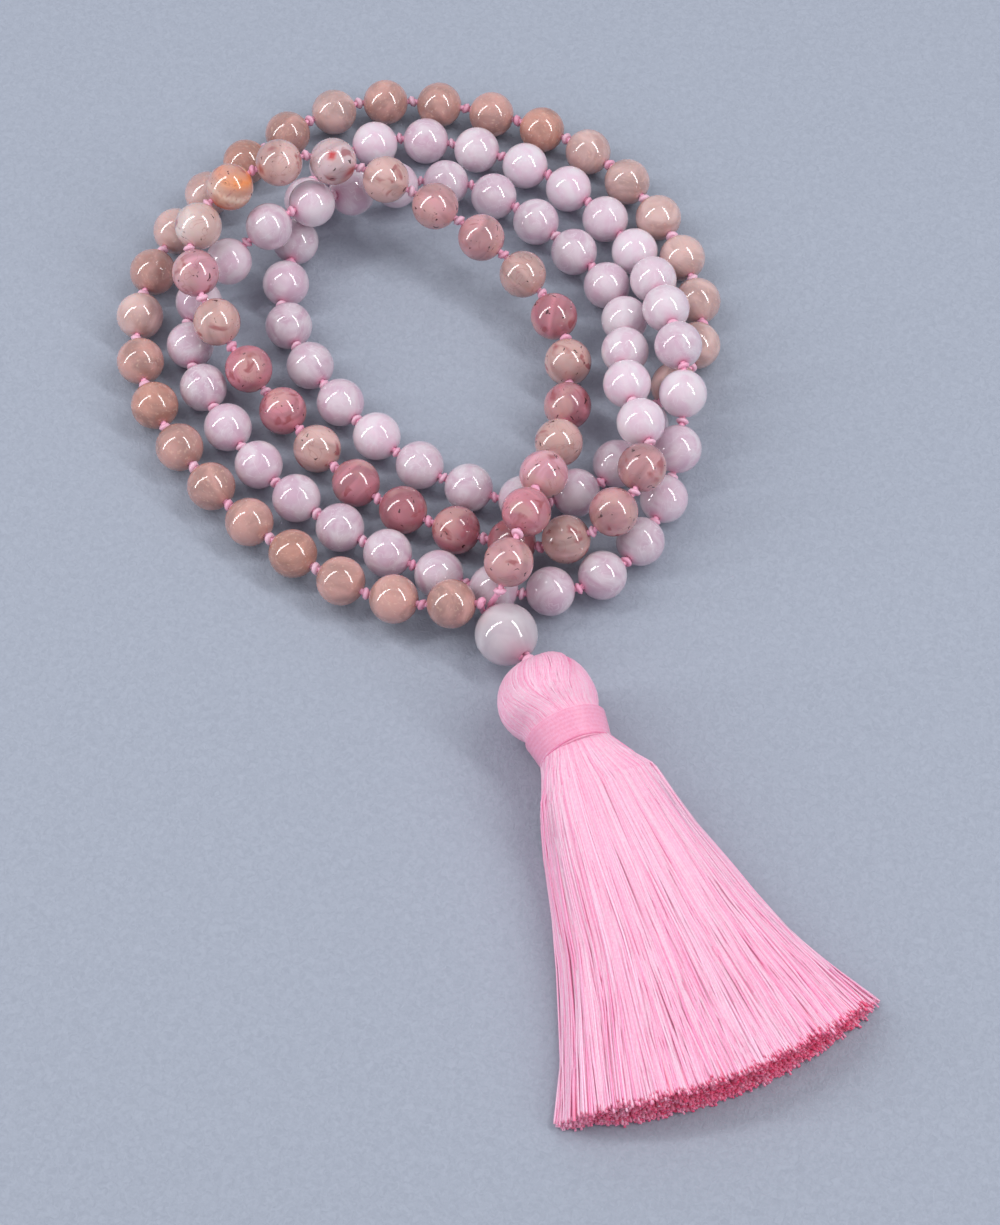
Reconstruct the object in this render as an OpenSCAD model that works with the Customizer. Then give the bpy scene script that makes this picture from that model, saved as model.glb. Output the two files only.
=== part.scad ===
// Mala prayer beads: 108 knotted stone beads on one silk cord, closed by a guru
// bead and a silk tassel. The strand lies on the plane z = 0 in three loose turns.

/* [Beads] */
// Diameter of a counting bead
bead_d = 7.9; // [7.6:0.1:7.9]
// Diameter of the hole drilled through a counting bead
bead_bore_d = 1.1; // [1.1:0.02:1.2]
// Diameter of the guru bead that closes the strand
guru_d = 10; // [9.6:0.1:10]
// Diameter of the hole drilled through the guru bead
guru_bore_d = 2.3; // [2.25:0.05:2.5]

/* [Cord and knots] */
// Diameter of the silk stringing cord
cord_d = 1; // [0.8:0.05:1]
// Diameter of a knot tied between two beads
knot_d = 1.6; // [1.2:0.1:1.6]
// Length of a knot along the cord
knot_len = 0.76; // [0.6:0.02:0.76]
// Diameter of the knot below the guru bead
lower_knot_d = 2.6; // [2.2:0.1:2.6]

/* [Tassel] */
// Largest diameter of the tassel's head
head_d = 15.2; // [14.6:0.2:15.6]
// Diameter of the neck's wrapping at its upper edge
wrap_top_d = 13.2; // [12:0.2:13.4]
// Diameter of the neck's wrapping at its lower edge
wrap_low_d = 11.4; // [11:0.2:12]
// Length of the neck's wrapping along the tassel
wrap_len = 5; // [4:0.5:5]
// Distance from the lower knot to the cut ends of the skirt
tassel_len = 76; // [64:1:80]
// Half of the angle that the skirt spreads over
spread = 20.5; // [16:0.5:22]
// Height of the skirt's cut end above the table
skirt_end_h = 8.6; // [7:0.2:9]

/* [Hidden] */
SUNSTONES = 27;
ROSE_QUARTZ = 54;
RHODONITES = 27;
BEADS = SUNSTONES + ROSE_QUARTZ + RHODONITES;
SUNSTONES_PER_NODE = 3;
ROSE_PER_NODE = 6;

SUNSTONE_COLOUR = [0.85, 0.66, 0.56];
ROSE_COLOUR = [0.91, 0.80, 0.86];
RHODONITE_COLOUR = [0.74, 0.44, 0.45];
GURU_COLOUR = [0.88, 0.84, 0.86];
CORD_COLOUR = [0.94, 0.55, 0.70];
SKIRT_COLOUR = [0.98, 0.70, 0.82];

// The strand's route from one side of the guru bead round to the other: x, y and
// the lift of the cord above a strand that lies on the table. A turn rises where
// it lies on an earlier one.
route = [
    [2, -13, 4],
    // first turn, sunstones, outermost
    [-15, -10, 1], [-37, 6, 0], [-52, 27, 0], [-56, 46, 0], [-50, 66, 0], [-37, 82, 0],
    [-20, 93, 0], [2, 91, 0], [22, 81, 0], [35, 62, 0], [39, 41, 0], [31, 28, 0],
    // rose quartz, one turn inside and back out over the sunstones
    [21, 12, 0], [6, 9, 0], [-15, 21, 0], [-31, 44, 0], [-30, 61, 0], [-26, 78, 0],
    [-11, 85, 0], [13, 77, 0], [28, 60, 0], [32, 45, 6], [35, 29, 8.5], [33, 13, 0],
    [25, -3, 0], [11, -9, 0], [-10, -3, 0], [-33, 14, 0], [-47, 38, 0], [-44, 53, 1],
    [-30, 62, 8.5], [-14, 74, 0], [3, 73, 0], [25, 50, 0], [25, 28, 7], [29, 14, 9],
    // last turn, rhodonites, over both earlier ones
    [23, 1, 7], [8, 0, 0], [-16, 10, 0], [-32, 28, 0], [-45, 45, 9], [-45, 60, 11],
    [-28, 69, 14.5], [-5, 62, 9], [14, 46, 2], [16, 24, 2], [9, 0, 10.5], [5, -12, 6]
];
SUNSTONE_LAST = 12;
ROSE_LAST = 36;
RHODONITE_LAST = 48;
STEPS = 10;

// The guru bead lies on the table, its bore level and turned towards the tassel.
guru_at = [6, -17, guru_d / 2];
guru_yaw = -55;
GURU_GAP = 0.7;
CORD_PAIR_OFFSET = 0.55;
KNOT_CLEARANCE = 0.08;
// Half length of a knot's full-width middle and radius of its ends, as parts of its own
KNOT_MIDDLE = 0.6;
KNOT_END = 0.55;
pivot_from_guru = guru_d / 2 + lower_knot_d / 2;
guru_dir = [cos(guru_yaw), sin(guru_yaw), 0];
guru_side = [-sin(guru_yaw), cos(guru_yaw), 0];
cord_pair_start = guru_d / 2 + GURU_GAP;
pivot = guru_at + pivot_from_guru * guru_dir;

// The tassel in its own frame: +X along it, from the lower knot, and z = 0 on the table.
tassel_yaw = -68;
HEAD_START = 2.8;
NECK_START = 14.4;
NECK_D = 9.8;
TIE_GROOVE_D = 8.4;
TIE_START = NECK_START + 1.5;
TIE_LEN = 2;
CORE_KNOT_D = 4.4;
CORE_ROOM = 0.15;
HEAD_OVERLAP = 0.3;
HEAD_FULLNESS = 0.8;
FOLD_STEP = 12;
FOLD_END = 132;
head_r = head_d / 2;
head_half_len = (NECK_START - HEAD_START) / 2 + HEAD_OVERLAP;
head_mid = HEAD_START + head_half_len;
core_knot_at = [head_mid, 0, head_r];
neck_end = NECK_START + wrap_len;
neck_r = NECK_D / 2;
FAN_APEX = 3;
FAN_STEPS = 16;
SKIRT_SHOULDER = 27;
SKIRT_REST_START = 34;
SKIRT_BACK = 0.8;

CORD_SIDES = 8;

// ---- the route as a smooth curve, and the beads' places along it ----

function unit(v) = v / norm(v);

// A point of the smooth curve through b and c, with neighbours a and d
function between(a, b, c, d, t) =
    0.5 * (2 * b + (c - a) * t + (2 * a - 5 * b + 4 * c - d) * t * t
        + (3 * b - a - 3 * c + d) * t * t * t);

last_point = len(route) - 1;
function route_at(i) =
    i < 0 ? 2 * route[0] - route[1]
    : i > last_point ? 2 * route[last_point] - route[last_point - 1]
    : route[i];

curve = concat(
    [for (i = [0:last_point - 1]) for (k = [0:STEPS - 1])
        between(route_at(i - 1), route_at(i), route_at(i + 1), route_at(i + 2), k / STEPS)],
    [route[last_point]]
);
curve_end = len(curve) - 1;

// Length of the curve from its start to each of its points
travelled = [
    for (i = 0, s = 0; i <= curve_end;
        s = s + (i < curve_end ? norm(curve[i + 1] - curve[i]) : 0), i = i + 1) s
];

function axis_table(axis) = [for (i = [0:curve_end]) [travelled[i], curve[i][axis]]];
x_along = axis_table(0);
y_along = axis_table(1);
lift_along = axis_table(2);

// The cord's place at a distance along the curve, never lower than a resting bead's bore
function place(s) =
    [lookup(s, x_along), lookup(s, y_along), bead_d / 2 + max(0, lookup(s, lift_along))];

// Knots of one kind of stone, spread evenly from one route point to another
function knots_of(first, last, count) =
    let (s0 = travelled[first * STEPS], s1 = travelled[last * STEPS])
    [for (k = [0:count - 1]) place(s0 + (s1 - s0) * k / count)];

knots = concat(
    knots_of(0, SUNSTONE_LAST, SUNSTONES),
    knots_of(SUNSTONE_LAST, ROSE_LAST, ROSE_QUARTZ),
    knots_of(ROSE_LAST, RHODONITE_LAST, RHODONITES),
    [place(travelled[curve_end])]
);

function bead_axis(i) = unit(knots[i + 1] - knots[i]);
function bead_at(i) = (knots[i] + knots[i + 1]) / 2;

// The two ends of the cord, side by side in front of the guru bead's upper mouth
cord_start = guru_at - cord_pair_start * guru_dir - CORD_PAIR_OFFSET * guru_side;
cord_finish = guru_at - cord_pair_start * guru_dir + CORD_PAIR_OFFSET * guru_side;
cord_line = concat([cord_start], knots, [cord_finish]);
cord_last = len(cord_line) - 1;

// Direction of the cord where it turns, halfway between its two straight stretches
function turn_dir(i) =
    i == 0 ? unit(cord_line[1] - cord_line[0])
    : i == cord_last ? unit(cord_line[i] - cord_line[i - 1])
    : unit(unit(cord_line[i + 1] - cord_line[i]) + unit(cord_line[i] - cord_line[i - 1]));

// A knot beside the guru bead follows its bead, and the others halve the turn.
function knot_dir(i) = i == 0 ? bead_axis(0) : i == BEADS ? bead_axis(BEADS - 1) : turn_dir(i + 1);

// ---- helpers ----

// Stand a child made along +Z at a point, along a direction
module along(at, dir) {
    translate(at)
        rotate([0, acos(dir[2]), atan2(dir[1], dir[0])])
            children();
}

module drilled_ball(d, bore) {
    difference() {
        sphere(d = d, $fn = 72);
        cylinder(h = 2 * d, d = bore, center = true, $fn = 24);
    }
}

module bead(i) {
    along(bead_at(i), bead_axis(i)) drilled_ball(bead_d, bead_bore_d);
}

// A tight overhand knot, thinner at its rim so that it clears tilted beads
module knot(i) {
    half = knot_len / 2;
    rim = KNOT_MIDDLE * half;
    core = KNOT_END * knot_d / 2;
    along(knots[i], knot_dir(i))
        rotate_extrude($fn = 24)
            polygon([
                [0, -half], [core, -half], [knot_d / 2, -rim],
                [knot_d / 2, rim], [core, half], [0, half]
            ]);
}

// Corners of the cord's cross-section at one point of its line
function cord_ring(i) =
    let (dir = turn_dir(i), side = unit(cross(dir, [0, 0, 1])), up = cross(side, dir))
    [for (k = [0:CORD_SIDES - 1])
        let (a = 360 * k / CORD_SIDES)
        cord_line[i] + cord_d / 2 * (cos(a) * side + sin(a) * up)];

module in_tassel_frame() {
    translate([pivot[0], pivot[1], 0])
        rotate([0, 0, tassel_yaw])
            children();
}

// Turn a profile of [distance along the tassel, radius] about the head's level axis
module turned_along_tassel() {
    translate([0, 0, head_r])
        rotate([0, 90, 0])
            rotate_extrude($fn = 72)
                children();
}

// ---- the strand ----

module stringing_cord() {
    corners = [for (i = [0:cord_last]) for (p = cord_ring(i)) p];
    function corner(i, k) = i * CORD_SIDES + k % CORD_SIDES;
    walls = [
        for (i = [0:cord_last - 1]) for (k = [0:CORD_SIDES - 1]) for (half = [0, 1])
            half == 0 ? [corner(i, k), corner(i, k + 1), corner(i + 1, k + 1)]
            : [corner(i, k), corner(i + 1, k + 1), corner(i + 1, k)]
    ];
    start_cap = [for (k = [0:CORD_SIDES - 1]) corner(0, CORD_SIDES - 1 - k)];
    end_cap = [for (k = [0:CORD_SIDES - 1]) corner(cord_last, k)];
    color(CORD_COLOUR)
        polyhedron(points = corners, faces = concat(walls, [start_cap, end_cap]), convexity = 10);
}

module sunstone_beads(group) {
    first = (group - 1) * SUNSTONES_PER_NODE;
    color(SUNSTONE_COLOUR)
        for (i = [first:first + SUNSTONES_PER_NODE - 1])
            bead(i);
}

module rose_quartz_beads(group) {
    first = SUNSTONES + (group - 1) * ROSE_PER_NODE;
    color(ROSE_COLOUR)
        for (i = [first:first + ROSE_PER_NODE - 1])
            bead(i);
}

module rhodonite_bead(number) {
    color(RHODONITE_COLOUR)
        bead(SUNSTONES + ROSE_QUARTZ + number - 1);
}

module knot_row(first, last) {
    color(CORD_COLOUR)
        for (i = [first:last])
            knot(i);
}

// ---- the guru bead ----

module guru_bead() {
    color(GURU_COLOUR)
        along(guru_at, guru_dir) drilled_ball(guru_d, guru_bore_d);
}

// Both ends of the stringing cord, side by side through the guru bead
module guru_cords() {
    run = cord_pair_start + pivot_from_guru - lower_knot_d / 2 - KNOT_CLEARANCE;
    color(CORD_COLOUR)
        for (side = [-1, 1])
            along(guru_at - cord_pair_start * guru_dir + side * CORD_PAIR_OFFSET * guru_side, guru_dir)
                cylinder(h = run, d = cord_d, $fn = 24);
}

module guru_lower_knot() {
    color(CORD_COLOUR)
        translate(pivot)
            sphere(d = lower_knot_d, $fn = 48);
}

// ---- the tassel ----

// From the lower knot up into the middle of the head
module tassel_hanging_cord() {
    from = [0, 0, pivot[2]];
    run = core_knot_at - from;
    start = lower_knot_d / 2 + KNOT_CLEARANCE;
    color(CORD_COLOUR)
        in_tassel_frame()
            along(from + start * unit(run), unit(run))
                cylinder(h = norm(run) - start - CORE_KNOT_D / 2, d = cord_d, $fn = 24);
}

// The hanging cord's end knot, which holds the folded threads
module tassel_core_knot() {
    color(CORD_COLOUR)
        in_tassel_frame()
            translate(core_knot_at)
                sphere(d = CORE_KNOT_D, $fn = 48);
}

// The folded threads: a round head over the core knot and a neck under the wrapping
module tassel_head() {
    fold = [
        for (a = [0:FOLD_STEP:FOLD_END])
            [head_mid - head_half_len * cos(a), head_r * pow(sin(a), HEAD_FULLNESS)]
    ];
    run = core_knot_at - [0, 0, pivot[2]];
    neck = [
        [NECK_START, neck_r], [TIE_START, neck_r], [TIE_START, TIE_GROOVE_D / 2],
        [TIE_START + TIE_LEN, TIE_GROOVE_D / 2], [TIE_START + TIE_LEN, neck_r],
        [neck_end, neck_r], [neck_end, 0]
    ];
    color(SKIRT_COLOUR)
        in_tassel_frame()
            difference() {
                turned_along_tassel()
                    polygon([for (p = concat(fold, neck)) [p[1], p[0]]]);
                translate(core_knot_at)
                    sphere(d = CORE_KNOT_D + 2 * CORE_ROOM, $fn = 48);
                along([0, 0, pivot[2]], unit(run))
                    cylinder(h = norm(run), d = cord_d + 2 * CORE_ROOM, $fn = 24);
            }
}

// The hidden thread that binds the folded bundle at its neck
module tassel_inner_tie() {
    color(CORD_COLOUR)
        in_tassel_frame()
            turned_along_tassel()
                translate([TIE_GROOVE_D / 2, TIE_START])
                    square([(NECK_D - TIE_GROOVE_D) / 2, TIE_LEN]);
}

// The close winding that covers the neck
module tassel_neck_wrap() {
    color(CORD_COLOUR)
        in_tassel_frame()
            turned_along_tassel()
                polygon([
                    [neck_r, NECK_START], [wrap_top_d / 2, NECK_START],
                    [wrap_low_d / 2, neck_end], [neck_r, neck_end]
                ]);
}

// The hanging threads, fanned out flat on the table
module tassel_skirt() {
    fan_r = tassel_len - FAN_APEX;
    fan_arc = [
        for (k = [0:FAN_STEPS])
            let (a = spread * (2 * k / FAN_STEPS - 1))
            [FAN_APEX + fan_r * cos(a), fan_r * sin(a)]
    ];
    shoulder_w = (SKIRT_SHOULDER - FAN_APEX) * tan(spread);
    color(SKIRT_COLOUR)
        in_tassel_frame()
            intersection() {
                linear_extrude(height = head_d + 1)
                    polygon(concat(
                        [[neck_end, neck_r], [neck_end, -neck_r], [SKIRT_SHOULDER, -shoulder_w]],
                        fan_arc,
                        [[SKIRT_SHOULDER, shoulder_w]]
                    ));
                rotate([90, 0, 0])
                    linear_extrude(height = 2 * tassel_len, center = true)
                        polygon([
                            [neck_end, head_r - neck_r], [SKIRT_REST_START, 0], [tassel_len + 1, 0],
                            [tassel_len + 1, skirt_end_h],
                            [SKIRT_REST_START, head_r + SKIRT_BACK * neck_r],
                            [neck_end, head_r + neck_r]
                        ]);
            }
}

// ---- nodes ----

SUNSTONE_NODES = SUNSTONES / SUNSTONES_PER_NODE;
ROSE_NODES = ROSE_QUARTZ / ROSE_PER_NODE;
function sunstone_name(k) = str("sunstone_beads_", k);
function rose_name(k) = str("rose_quartz_beads_", k);
function rhodonite_name(k) = str("rhodonite_bead_", k < 10 ? "0" : "", k);

for (k = [1:SUNSTONE_NODES]) sunstone_beads(k);
for (k = [1:ROSE_NODES]) rose_quartz_beads(k);
for (k = [1:RHODONITES]) rhodonite_bead(k);
stringing_cord();
knot_row(0, SUNSTONES);  // sunstone_knots
knot_row(SUNSTONES + 1, SUNSTONES + ROSE_QUARTZ);  // rose_quartz_knots
knot_row(SUNSTONES + ROSE_QUARTZ + 1, BEADS);  // rhodonite_knots
guru_bead();
guru_cords();
guru_lower_knot();
tassel_hanging_cord();
tassel_core_knot();
tassel_head();
tassel_inner_tie();
tassel_neck_wrap();
tassel_skirt();
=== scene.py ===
# %% [markdown]
# # Mala prayer beads, piece by piece
#
# A mala is 108 stone beads on one silk cord, with a knot tied between every two beads. A larger
# guru bead closes the loop, and a silk tassel hangs from it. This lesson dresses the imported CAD
# model: every bead, knot and thread is made in metres, in the frame of that model.

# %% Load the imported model
import math
import bpy
import numpy as np
from mathutils import Matrix, Vector


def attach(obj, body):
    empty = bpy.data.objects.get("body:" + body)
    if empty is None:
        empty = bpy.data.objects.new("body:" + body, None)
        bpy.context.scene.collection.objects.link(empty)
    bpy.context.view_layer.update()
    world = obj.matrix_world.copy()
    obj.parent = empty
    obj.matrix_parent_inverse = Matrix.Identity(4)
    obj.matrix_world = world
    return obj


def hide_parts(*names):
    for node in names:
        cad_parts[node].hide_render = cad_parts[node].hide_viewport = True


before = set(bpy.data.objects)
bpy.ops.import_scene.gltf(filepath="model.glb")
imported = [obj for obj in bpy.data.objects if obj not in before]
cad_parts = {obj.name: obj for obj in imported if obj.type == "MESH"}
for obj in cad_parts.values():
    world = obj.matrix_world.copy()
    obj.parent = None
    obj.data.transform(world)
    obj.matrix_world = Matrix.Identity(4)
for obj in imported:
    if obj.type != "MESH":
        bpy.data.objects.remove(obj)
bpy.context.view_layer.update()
MM = 0.001

# %% [markdown]
# ## Camera
#
# A product picture of something flat is usually taken from above and in front, with a long lens
# that keeps the loops from bending. This one looks 59 degrees down from half a metre, with no
# roll. It comes first because the cord is judged from it.

# %% Camera
CAMERA_TILT = 31.34
CAMERA_LENS = 88.2
bpy.ops.object.camera_add(location=(0.005, -0.2596, 0.410),
                          rotation=(math.radians(CAMERA_TILT), 0, 0))
camera = bpy.context.object
camera.name = "camera"
camera.data.lens = CAMERA_LENS
camera.data.clip_start = 0.01
bpy.context.scene.camera = camera
bpy.context.scene.view_settings.view_transform = "Standard"
print("camera looks down", round(90 - CAMERA_TILT, 2), "degrees")

# %% [markdown]
# ## The route of the strand
#
# The cord could be drawn by hand as a curve, but the beads have to sit on it at exact places. So
# the route is a list of points, each with the lift of the cord above a strand that lies on the
# table, and a smooth curve is drawn through them. It is the same route that the solids follow.

# %% Points of the route, in metres
ROUTE = np.array([
    (0.002, -0.013, 0.004),
    (-0.015, -0.010, 0.001), (-0.037, 0.006, 0), (-0.052, 0.027, 0), (-0.056, 0.046, 0),
    (-0.050, 0.066, 0), (-0.037, 0.082, 0), (-0.020, 0.093, 0), (0.002, 0.091, 0),
    (0.022, 0.081, 0), (0.035, 0.062, 0), (0.039, 0.041, 0), (0.031, 0.028, 0),
    (0.021, 0.012, 0), (0.006, 0.009, 0), (-0.015, 0.021, 0), (-0.031, 0.044, 0),
    (-0.030, 0.061, 0), (-0.026, 0.078, 0), (-0.011, 0.085, 0), (0.013, 0.077, 0),
    (0.028, 0.060, 0), (0.032, 0.045, 0.006), (0.035, 0.029, 0.0085), (0.033, 0.013, 0),
    (0.025, -0.003, 0), (0.011, -0.009, 0), (-0.010, -0.003, 0), (-0.033, 0.014, 0),
    (-0.047, 0.038, 0), (-0.044, 0.053, 0.001), (-0.030, 0.062, 0.0085), (-0.014, 0.074, 0),
    (0.003, 0.073, 0), (0.025, 0.050, 0), (0.025, 0.028, 0.007), (0.029, 0.014, 0.009),
    (0.023, 0.001, 0.007), (0.008, 0, 0), (-0.016, 0.010, 0), (-0.032, 0.028, 0),
    (-0.045, 0.045, 0.009), (-0.045, 0.060, 0.011), (-0.028, 0.069, 0.0145),
    (-0.005, 0.062, 0.009), (0.014, 0.046, 0.002), (0.016, 0.024, 0.002),
    (0.009, 0, 0.0105), (0.005, -0.012, 0.006)])
SECTIONS = ((0, 12, 27), (12, 36, 54), (36, 48, 27))  # first point, last point, beads
BEAD_D = 7.9 * MM
CORD_D = 1.0 * MM
STEPS = 10
print("route points", len(ROUTE))


# %% A smooth curve through the points
def unit(v):
    return v / np.linalg.norm(v, axis=-1, keepdims=True)


def smooth_curve(points, steps):
    ends = np.vstack([2 * points[0] - points[1], points, 2 * points[-1] - points[-2]])
    a, b, c, d = ends[:-3, None], ends[1:-2, None], ends[2:-1, None], ends[3:, None]
    t = (np.arange(steps) / steps)[None, :, None]
    line = 0.5 * (2 * b + (c - a) * t + (2 * a - 5 * b + 4 * c - d) * t ** 2
                  + (3 * b - a - 3 * c + d) * t ** 3)
    return np.vstack([line.reshape(-1, 3), points[-1:]])


curve = smooth_curve(ROUTE, STEPS)
travelled = np.concatenate([[0], np.cumsum(np.linalg.norm(np.diff(curve, axis=0), axis=1))])
print("length of the route in mm", round(travelled[-1] / MM, 1))

# %% Knots and beads along the curve
spots = []
for first, last, count in SECTIONS:
    start, end = travelled[first * STEPS], travelled[last * STEPS]
    spots += [start + (end - start) * k / count for k in range(count)]
spots.append(travelled[-1])
knots = np.stack([np.interp(spots, travelled, curve[:, axis]) for axis in range(3)], axis=1)
knots[:, 2] = BEAD_D / 2 + np.maximum(0, knots[:, 2])
bead_centres = (knots[1:] + knots[:-1]) / 2
bead_axes = unit(knots[1:] - knots[:-1])
gaps = np.linalg.norm(knots[1:] - knots[:-1], axis=1) - BEAD_D
print("beads", len(bead_centres))
print("gaps in mm", round(gaps.min() / MM, 2), round(gaps.max() / MM, 2))

# %% The guru bead, the lower knot and the tassel's own frame
GURU_D = 10 * MM
GURU_YAW = math.radians(-55)
TASSEL_YAW = math.radians(-68)
LOWER_KNOT_D = 2.6 * MM
PAIR_STANDS_OUT = 0.7 * MM  # how far the two cord ends start before the guru bead
PAIR_HALF_GAP = 0.55 * MM  # from the middle of the bore to the middle of each end
AXIS_Z = 7.6  # height of the tassel's own axis above the table, in millimetres
guru_at = np.array([6, -17, 5]) * MM
guru_dir = np.array([math.cos(GURU_YAW), math.sin(GURU_YAW), 0])
guru_side = np.array([-guru_dir[1], guru_dir[0], 0])
pivot = guru_at + (GURU_D + LOWER_KNOT_D) / 2 * guru_dir
pair_start = guru_at - (GURU_D / 2 + PAIR_STANDS_OUT) * guru_dir
cord_start = pair_start - PAIR_HALF_GAP * guru_side
cord_finish = pair_start + PAIR_HALF_GAP * guru_side
cord_line = np.vstack([cord_start, knots, cord_finish])
TASSEL = Matrix.Translation((pivot[0], pivot[1], 0)) @ Matrix.Rotation(TASSEL_YAW, 4, "Z")
print("lower knot at", [round(x / MM, 2) for x in pivot])

# %% [markdown]
# ## Tools of the trade
#
# Operators act on whatever is selected, so everything is deselected before a primitive is
# added. A shape that repeats is modelled once. Its copies are then laid out in one mesh for
# each piece, either moved as a whole (a bead, a knot) or bent along a line (a thread), because
# thousands of threads would take far too long as separate objects.


# %% Selecting and starting
def put_down():
    if bpy.context.mode != "OBJECT":
        bpy.ops.object.mode_set(mode="OBJECT")
    bpy.ops.object.select_all(action="DESELECT")


def pick_up(piece):
    put_down()
    piece.select_set(True)
    bpy.context.view_layer.objects.active = piece


def edit(piece, kind="VERT"):
    pick_up(piece)
    bpy.ops.object.mode_set(mode="EDIT")
    bpy.ops.mesh.select_mode(type=kind)


def added(name):
    """The primitive that was just added, with a name."""
    piece = bpy.context.object
    piece.name = name
    return piece


def choose(piece, rule, kind="VERT"):
    """Select the vertices whose place passes the rule, from edit mode."""
    bpy.ops.mesh.select_all(action="DESELECT")
    bpy.ops.object.mode_set(mode="OBJECT")
    for v in piece.data.vertices:
        v.select = bool(rule(v.co))
    bpy.ops.object.mode_set(mode="EDIT")
    bpy.ops.mesh.select_mode(type="VERT")
    if kind != "VERT":
        bpy.ops.mesh.select_mode(use_extend=False, type=kind)


def close_up():
    """Turn every face outward and leave edit mode."""
    bpy.ops.mesh.select_all(action="SELECT")
    bpy.ops.mesh.normals_make_consistent(inside=False)
    bpy.ops.object.mode_set(mode="OBJECT")


# %% Laying out copies
def shape_of(piece):
    coords = np.array([v.co[:] for v in piece.data.vertices])
    faces = [list(p.vertices) for p in piece.data.polygons]
    bpy.data.objects.remove(piece, do_unlink=True)
    return coords, faces


def ring_of(coords):
    """The ring that each vertex of a straight tube belongs to."""
    return np.rint(coords[:, 2]).astype(int)


def new_piece(name, coords, faces):
    mesh = bpy.data.meshes.new(name)
    mesh.from_pydata(coords.tolist(), [], faces)
    mesh.polygons.foreach_set("use_smooth", [True] * len(mesh.polygons))
    piece = bpy.data.objects.new(name, mesh)
    bpy.context.collection.objects.link(piece)
    return piece


def lay_copies(name, shape, places):
    """One mesh that holds a copy of the shape at each place, a 4 x 4 matrix."""
    coords, faces = shape
    all_coords = [coords @ np.array(m)[:3, :3].T + np.array(m)[:3, 3] for m in places]
    all_faces = [[i + k * len(coords) for i in f] for k in range(len(places)) for f in faces]
    return new_piece(name, np.vstack(all_coords), all_faces)


def lay_threads(name, thread, lines, ups, radii):
    """One mesh that holds a copy of a straight thread, a ring to each unit of Z, on each line."""
    coords, faces = thread
    ring = ring_of(coords)
    along = unit(np.gradient(lines, axis=1))
    side = unit(np.cross(along, ups))
    up = np.cross(side, along)
    x, y = coords[:, 0][None, :, None], coords[:, 1][None, :, None]
    r = radii[:, None, None]
    laid = lines[:, ring] + r * (x * side[:, ring] + y * up[:, ring])
    count, size = laid.shape[:2]
    all_faces = [[i + k * size for i in f] for k in range(count) for f in faces]
    return new_piece(name, laid.reshape(-1, 3), all_faces)


def paint(piece, name, values):
    """Keep a number or a colour for each vertex, for the material to read."""
    values = np.asarray(values, dtype=float)
    if values.ndim == 0:
        values = np.full(len(piece.data.vertices), values)
    kind = "FLOAT" if values.ndim == 1 else "FLOAT_COLOR"
    if values.ndim == 2 and values.shape[1] == 3:
        values = np.hstack([values, np.ones((len(values), 1))])
    layer = piece.data.attributes.new(name, kind, "POINT")
    layer.data.foreach_set("value" if values.ndim == 1 else "color", values.ravel())


def dress(piece, finish, body):
    """Give a piece its finish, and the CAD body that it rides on."""
    piece.data.materials.append(finish)
    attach(piece, body)


def stand(at, direction, roll=0.0, size=(1, 1, 1)):
    """A place for a shape made along Z: turned to the direction, then moved to the point."""
    turn = Vector(direction).to_track_quat("Z", "Y").to_matrix().to_4x4()
    scale = Matrix.Diagonal((size[0], size[1], size[2], 1))
    return Matrix.Translation(Vector(at)) @ turn @ Matrix.Rotation(roll, 4, "Z") @ scale


print("tools ready")

# %% [markdown]
# ## Materials: helpers
#
# Each finish is a small tree of nodes. What is the same all over goes straight on the shader,
# and only what varies runs through nodes. Colours are written as the eye names them, so a
# helper turns them into the linear values that the shader wants.


# %% Node helpers
def colour(r, g, b):
    def linear(v):
        v = v / 255
        return v / 12.92 if v <= 0.04045 else ((v + 0.055) / 1.055) ** 2.4
    return (linear(r), linear(g), linear(b), 1.0)


def new_finish(name, **inputs):
    finish = bpy.data.materials.new(name)
    finish.use_nodes = True
    shader = finish.node_tree.nodes["Principled BSDF"]
    for key, value in inputs.items():
        shader.inputs[key.replace("_", " ")].default_value = value
    return finish, shader


def add(finish, kind, links=(), **settings):
    """Add a node, set its inputs by name, and wire sockets to it: (input, node, output)."""
    n = finish.node_tree.nodes.new(kind)
    for key, value in settings.items():
        if hasattr(n, key):
            setattr(n, key, value)
        else:
            n.inputs[key.replace("_", " ")].default_value = value
    for socket, source, output in links:
        finish.node_tree.links.new(source.outputs[output], n.inputs[socket])
    return n


def wire(finish, source, output, shader, socket):
    finish.node_tree.links.new(source.outputs[output], shader.inputs[socket])


def noise(finish, source, output, **settings):
    return add(finish, "ShaderNodeTexNoise", [("Vector", source, output)], **settings)


def stored(finish, name):
    """A number or a colour that is stored on the mesh."""
    return add(finish, "ShaderNodeAttribute", attribute_name=name)


def ramp(finish, source, output, stops):
    """A colour ramp: each stop is a place from 0 to 1 and a grey or a colour."""
    n = add(finish, "ShaderNodeValToRGB", [("Fac", source, output)])
    while len(n.color_ramp.elements) < len(stops):
        n.color_ramp.elements.new(0.5)
    for e, (at, tone) in zip(n.color_ramp.elements, stops):
        e.position = at
        e.color = tone if isinstance(tone, tuple) else (tone, tone, tone, 1)
    return n


def mix(finish, blend, factor, a, b):
    """Mix two colours. factor, a and b are each a (node, output) pair or a plain value."""
    n = finish.node_tree.nodes.new("ShaderNodeMix")
    n.data_type = "RGBA"
    n.blend_type = blend
    for socket, value in ((n.inputs[0], factor), (n.inputs[6], a), (n.inputs[7], b)):
        if isinstance(value, tuple) and len(value) == 2:
            finish.node_tree.links.new(value[0].outputs[value[1]], socket)
        else:
            socket.default_value = value
    return n


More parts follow.
